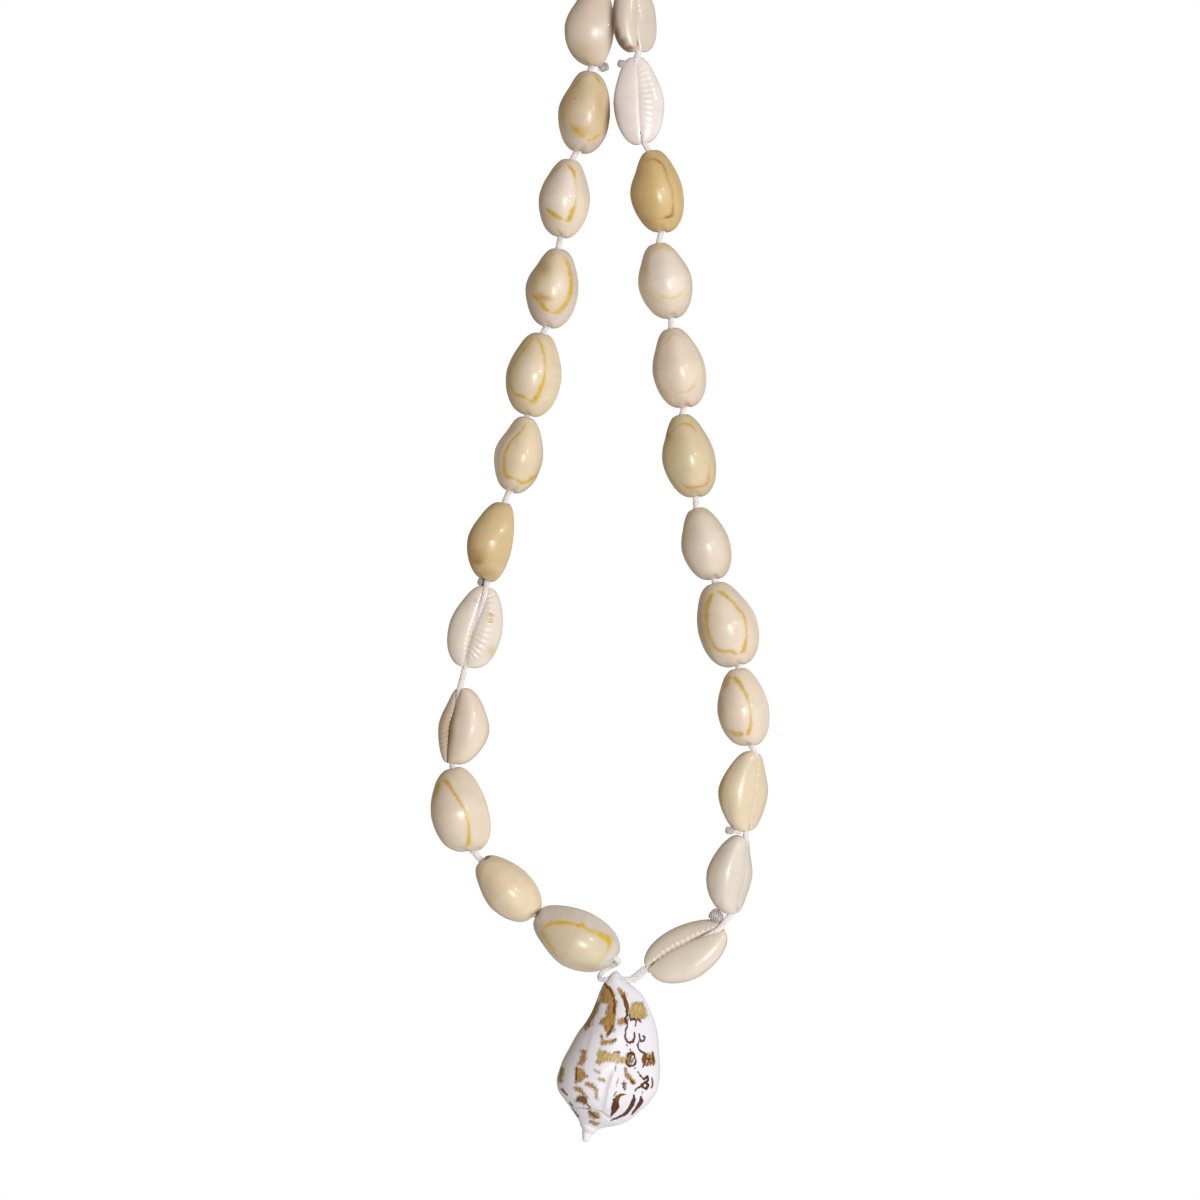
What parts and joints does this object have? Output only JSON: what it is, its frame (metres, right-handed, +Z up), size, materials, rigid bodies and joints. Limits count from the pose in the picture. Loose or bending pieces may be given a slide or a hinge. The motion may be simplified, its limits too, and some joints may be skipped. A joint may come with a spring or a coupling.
{
  "type": "shell necklace",
  "caption": "Long necklace of glossy cowrie shells strung on a braided cord, with a large patterned shell hanging as its pendant.",
  "frame": {"origin": "underside of the cord's arch, where the necklace hangs on a hook", "axes": "+X to the viewer's right, +Z up, -Y towards the viewer"},
  "size_m": [0.1021, 0.0238, 0.4166],
  "materials": {
    "shell_cream": "gloss",
    "shell_pattern": "gloss",
    "cord": "matt"
  },
  "bodies": {
    "strand": {"cowrie_left_01": "shell_cream", "cowrie_left_02": "shell_cream", "cowrie_left_03": "shell_cream", "cowrie_left_04": "shell_cream", "cowrie_left_05": "shell_cream", "cowrie_left_06": "shell_cream", "cowrie_left_07": "shell_cream", "cowrie_left_08": "shell_cream", "cowrie_left_09": "shell_cream", "cowrie_left_10": "shell_cream", "cowrie_left_11": "shell_cream", "cowrie_left_12": "shell_cream", "cowrie_left_13": "shell_cream", "cowrie_left_14": "shell_cream", "cowrie_right_01": "shell_cream", "cowrie_right_02": "shell_cream", "cowrie_right_03": "shell_cream", "cowrie_right_04": "shell_cream", "cowrie_right_05": "shell_cream", "cowrie_right_06": "shell_cream", "cowrie_right_07": "shell_cream", "cowrie_right_08": "shell_cream", "cowrie_right_09": "shell_cream", "cowrie_right_10": "shell_cream", "cowrie_right_11": "shell_cream", "cowrie_right_12": "shell_cream", "cowrie_right_13": "shell_cream", "cowrie_right_14": "shell_cream", "thread_hanger": "cord", "thread_left": "cord", "thread_right": "cord", "thread_pendant": "cord", "knot_1": "cord", "knot_2": "cord", "knot_3": "cord", "knot_4": "cord", "knot_5": "cord"},
    "pendant": {"pendant": "shell_pattern"}
  },
  "joints": [
    {"name": "pendant_swing", "type": "hinge", "parent": "strand", "child": "pendant", "pos_m": [0.0018, 0.0008, -0.366], "axis": [1, 0, 0], "range_deg": [-60, 60]}
  ]
}
